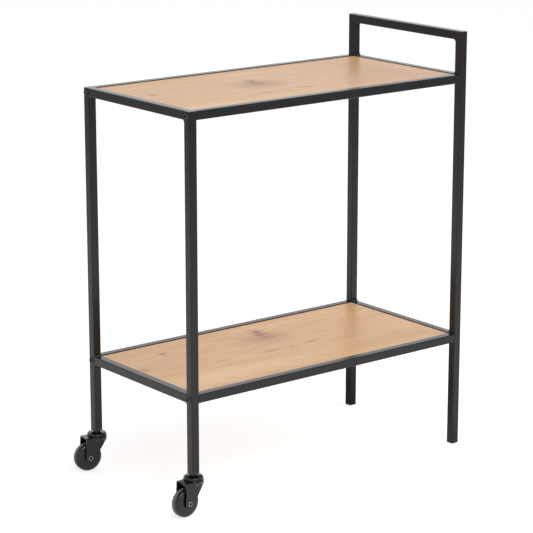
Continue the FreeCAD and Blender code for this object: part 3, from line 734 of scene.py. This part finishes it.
def makeFork(side):
    # The folded sheet: two halves of its outer face, thickened inwards, drilled for the axle, edges eased
    f = forkSize
    node = side + "_caster_fork"
    place = casterPlace(side)
    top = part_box(node)[1].z / mm
    half = forkHalf(place["trail"] / mm, top, place["hub"][2] / mm)
    mirrored = half * (1, -1, 1)
    grids = [(placed(part * mm, place), False, False) for part in (half, mirrored)]
    piece = makePiece(side + "CasterFork", grids, f["sharp"])
    faceUp(piece.data)
    thick = piece.modifiers.new("sheet", "SOLIDIFY")
    thick.thickness = f["sheet"] * mm
    thick.offset = -1
    applyModifiers(piece, f["sharp"])
    drill = makePiece(side + "Drill", [(axleRod(place), False, True)], f["sharp"])
    cut = piece.modifiers.new("axleHole", "BOOLEAN")
    cut.object = drill
    cut.solver = "EXACT"
    edges = piece.modifiers.new("sheetEdges", "BEVEL")
    edges.width = f["edge"] * mm
    edges.segments = f["edgeSteps"]
    edges.angle_limit = math.radians(f["edgeAngle"])
    applyModifiers(piece, f["sharp"])
    bpy.data.objects.remove(drill)
    dress(piece, glossEnamel, side + "_caster_fork", "caster_black", node)


def faceUp(mesh):
    # Turns an open sheet over if its top faces down
    heights = np.array([face.center.z for face in mesh.polygons])
    if mesh.polygons[int(heights.argmax())].normal.z < 0:
        mesh.flip_normals()


def axleRod(place):
    # A closed rod along the axle, as wide as the hole that it cuts
    f = forkSize
    reach = f["halfWidth"] * f["drillReach"]
    profile = np.array([(0, -reach), (f["axleHole"], -reach), (f["axleHole"], reach), (0, reach)])
    return spin(profile * mm, place["hub"], place["across"], f["drillSides"])


plugSize = {
    "drop": 2.4, "overlap": 0.7, "corner": 1.5, "edge": 0.5, "easeShare": 0.3, "arcSteps": 8, "sharp": 50,
}


def makePlugHead(side):
    # The plug's head goes on below the leg: a rounded square carried down, with an eased lower edge.
    # Each row is middle + outline*(1 - inset) at its own height.
    p = plugSize
    low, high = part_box(side + "_leg_plug")
    middle = np.array((low.x + high.x, low.y + high.y)) / 2 / mm
    half = (high.x - low.x) / 2 / mm
    corners = [(half, half), (-half, half), (-half, -half), (half, -half)]
    outline = roundedPath(corners, (p["corner"],) * 4, p["arcSteps"])
    top, bottom = low.z / mm + p["overlap"], low.z / mm - p["drop"]
    ease = p["easeShare"] * p["edge"]
    rows = np.array([(1, top), (0, top), (0, bottom + p["edge"]), (ease / half, bottom + ease),
                     (p["edge"] / half, bottom), (1, bottom)])
    inset, height = rows[:, :1, None], rows[:, 1:]
    flat = middle + outline * (1 - inset)
    points = np.dstack([flat, np.broadcast_to(height, flat.shape[:2])]) * mm
    piece = makePiece(side + "LegPlugHead", [(points, False, True)], p["sharp"])
    dress(piece, mouldedPlug, "trolley_frame", "foot_plastic")


for side in ("front", "back"):
    makePlugHead(side)
    makeDome(side)
    makeWheel(side)
    makeRivet(side)
    makeFork(side)
print("casters made")


# Weld beads where the crossbars meet the uprights

weld = {
    "leg": 5.2, "sink": 0.2, "pitch": 1.5, "ripple": 0.055, "fullness": 0.7, "margin": 1.2,
    "lag": 0.9, "bluntness": 7, "tuckShare": 0.98, "stations": 61, "rays": 15, "sharp": 50,
    "onBar": 0.5,   # how near a bead's foot is to the bar that it stands on
}


def weldBead(low, high, sideY, sideZ):
    # A bead in a corner, carried along X with u from 0 to 1. The radius of its quarter section is
    # leg * ends * ripples / (cos(a) + sin(a))^fullness. Its ends, sqrt(1 - |2u - 1|^bluntness), draw it in,
    # and its ripples, 1 + ripple*sin(2*pi*(x + lag*sin(2a)) / pitch), curve back at both edges.
    w = weld
    x0 = low.x / mm - w["margin"]
    x1 = high.x / mm + w["margin"]
    u = np.linspace(0, 1, w["stations"])[:, None]
    angle = np.linspace(0, math.pi / 2, w["rays"])[None]
    x = x0 + (x1 - x0) * u
    lag = w["lag"] * np.sin(2 * angle)
    ripples = 1 + w["ripple"] * np.sin(2 * math.pi * (x + lag) / w["pitch"])
    ends = np.sqrt(np.clip(1 - np.abs(2 * u - 1) ** w["bluntness"], 0, None))
    radius = w["leg"] * ends * ripples / (np.cos(angle) + np.sin(angle)) ** w["fullness"]
    outY = radius * np.cos(angle)
    outZ = radius * np.sin(angle)
    cornerY = low.y if sideY > 0 else high.y
    cornerZ = low.z if sideZ > 0 else high.z
    # Its back lies a little inside both tubes
    sunk = np.full_like(u, -w["sink"])
    outY = np.hstack([outY, sunk, sunk])
    outZ = np.hstack([outZ, outZ[:, -1:] * w["tuckShare"], sunk])
    y = cornerY + sideY * outY * mm
    z = cornerZ + sideZ * outZ * mm
    return np.stack([np.broadcast_to(x * mm, y.shape), y, z], -1)


def beadPlaces(node):
    # Each bead's own box, from the loose parts of the node's mesh
    copy = bmesh.new()
    copy.from_mesh(nodes[node].data)
    bmesh.ops.remove_doubles(copy, verts=copy.verts, dist=mergeReach)
    left = set(copy.verts)
    boxes = []
    while left:
        group, front = set(), [left.pop()]
        while front:
            vert = front.pop()
            group.add(vert)
            for edge in vert.link_edges:
                other = edge.other_vert(vert)
                if other in left:
                    left.discard(other)
                    front.append(other)
        spread = np.array([v.co for v in group])
        boxes.append((Vector(spread.min(0)), Vector(spread.max(0))))
    copy.free()
    return sorted(boxes, key=lambda b: (round(b[0].z, 5), b[0].y))


def makeBeads(name, node):
    # One end frame's beads, each in the corner above or below its crossbar, towards the trolley's middle
    grids = []
    barTops = [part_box(bar)[1].z for bar in nodes if bar.endswith("_crossbar")]
    for low, high in beadPlaces(node):
        onTop = min(abs(low.z - top) for top in barTops) < weld["onBar"] * mm
        sideY = 1 if low.y < 0 else -1
        grids.append((weldBead(low, high, sideY, 1 if onTop else -1), False, True))
    piece = makePiece(name, grids, weld["sharp"])
    dress(piece, powderCoat, "trolley_frame", "powder_coat", node)


makeBeads("leftFrameWelds", "left_frame_weld_beads")
makeBeads("rightFrameWelds", "right_frame_weld_beads")
print("weld beads made")


# Stage: white floor that keeps a soft shadow, white surroundings and soft lamps

stage = {
    "floorSize": 30.0, "floorWhite": 0.80, "floorGlow": 0.68, "floorShare": 0.56, "ambient": 0.53,
    # In reflections the floor dims with distance from a point left of the trolley: share of light that it
    # scatters, glow near and far, where the dimming starts and ends. It is darkest under the shelves.
    "mirrorShare": 0.30, "mirrorGlow": (0.82, 0.30),
    "mirrorReach": (1.4, 3.2), "mirrorFrom": (-0.6, 0.0, 0.0),
    "mirrorShade": 0.1, "shadeReach": (0.12, 0.85), "shadeFrom": (0.25, 0.35, 0.0),
    # What reflections show: white walls that turn into a darker ceiling between these heights
    "walls": 1.0, "ceiling": 0.30, "wallTop": 0.42, "ceilingFrom": 0.80,
    # name, place, size, power in watts, whether it shows in reflections: the large one would bleach the
    # boards when they are seen from the other side
    "lamps": (("frontSoftbox", (-0.8, -2.3, 2.3), 1.8, 34.0, True),
              ("rightSoftbox", (2.6, -1.5, 1.8), 3.0, 80.0, False)),
    "aim": (0.0, 0.0, 0.35),
}


def glowingPaint(tree, share, strength):
    # A white that scatters some light, so that shadows show on it, and glows by itself
    paint = add(tree, "BsdfDiffuse", {"Color": (share, share, share, 1)})
    glow = add(tree, "Emission", {"Color": (1, 1, 1, 1), "Strength": strength})
    return add(tree, "AddShader", {0: paint, 1: glow})


def makeFloor():
    # A flat square. The camera sees it white with the shadow, the lamps' light falls on plain white, and
    # reflections show it dimmed.
    reach = stage["floorSize"] / 2
    line = np.linspace(-reach, reach, 3)
    x, y = np.meshgrid(line, line)
    floor = makePiece("studioFloor", [(np.stack([x, y, np.zeros_like(x)], -1), False, False)])
    faceUp(floor.data)
    material = newMaterial("white studio floor")
    tree = material.node_tree
    seen = add(tree, "LightPath", out="Is Camera Ray")
    mirrored = add(tree, "LightPath", out="Is Glossy Ray")
    place = add(tree, "TexCoord", out="Object")
    away = add(tree, "VectorMath", {0: place, 1: stage["mirrorFrom"]}, out="Value", operation="DISTANCE")
    bright, dim = stage["mirrorGlow"]
    near, far = stage["mirrorReach"]
    dimmed = add(tree, "MapRange", {"Value": away, "From Min": near, "From Max": far,
                                    "To Min": bright, "To Max": dim})
    under = add(tree, "VectorMath", {0: place, 1: stage["shadeFrom"]}, out="Value", operation="DISTANCE")
    near, far = stage["shadeReach"]
    shade = add(tree, "MapRange", {"Value": under, "From Min": near, "From Max": far,
                                   "To Min": stage["mirrorShade"]}, interpolation_type="SMOOTHSTEP")
    dimmed = add(tree, "Math", {0: dimmed, 1: shade}, operation="MULTIPLY")
    white = glowingPaint(tree, stage["floorShare"], stage["floorGlow"])
    inMirrors = glowingPaint(tree, stage["mirrorShare"], dimmed)
    plain = add(tree, "BsdfDiffuse", {"Color": (stage["floorWhite"],) * 3 + (1,)})
    mixed = add(tree, "MixShader", {0: mirrored, 1: plain, 2: inMirrors})
    mixed = add(tree, "MixShader", {0: seen, 1: mixed, 2: white})
    add(tree, "OutputMaterial", {"Surface": mixed})
    floor.data.materials.append(material)


def makeWorld():
    # The camera sees pure white, reflections show the walls and the ceiling, and the rest is even light
    world = bpy.data.worlds.new("white studio")
    world.use_nodes = True
    tree = world.node_tree
    tree.nodes.clear()
    seen = add(tree, "LightPath", out="Is Camera Ray")
    mirrored = add(tree, "LightPath", out="Is Glossy Ray")
    through = add(tree, "LightPath", out="Is Transmission Ray")
    shown = add(tree, "Math", {0: mirrored, 1: through}, operation="MAXIMUM")
    height = add(tree, "SeparateXYZ", {0: add(tree, "TexCoord", out="Object")}, out=2)
    wall = add(tree, "MapRange", {"Value": height, "From Min": stage["wallTop"],
                                  "From Max": stage["ceilingFrom"], "To Min": stage["walls"],
                                  "To Max": stage["ceiling"]}, interpolation_type="SMOOTHSTEP")
    ambient = add(tree, "Background", {"Color": (1, 1, 1, 1), "Strength": stage["ambient"]})
    studio = add(tree, "Background", {"Color": (1, 1, 1, 1), "Strength": wall})
    white = add(tree, "Background", {"Color": (1, 1, 1, 1), "Strength": 1.0})
    mixed = add(tree, "MixShader", {0: shown, 1: ambient, 2: studio})
    mixed = add(tree, "MixShader", {0: seen, 1: mixed, 2: white})
    add(tree, "OutputWorld", {"Surface": mixed})
    bpy.context.scene.world = world


def makeLamps():
    for name, place, size, power, mirrored in stage["lamps"]:
        data = bpy.data.lights.new(name, "AREA")
        data.size = size
        data.energy = power
        lamp = bpy.data.objects.new(name, data)
        lamp.location = place
        lamp.rotation_euler = (Vector(stage["aim"]) - Vector(place)).to_track_quat("-Z", "Y").to_euler()
        lamp.visible_camera = False
        lamp.visible_glossy = mirrored
        bpy.context.scene.collection.objects.link(lamp)


makeFloor()
makeWorld()
makeLamps()
bpy.context.scene.view_settings.view_transform = "Standard"
print("stage set")
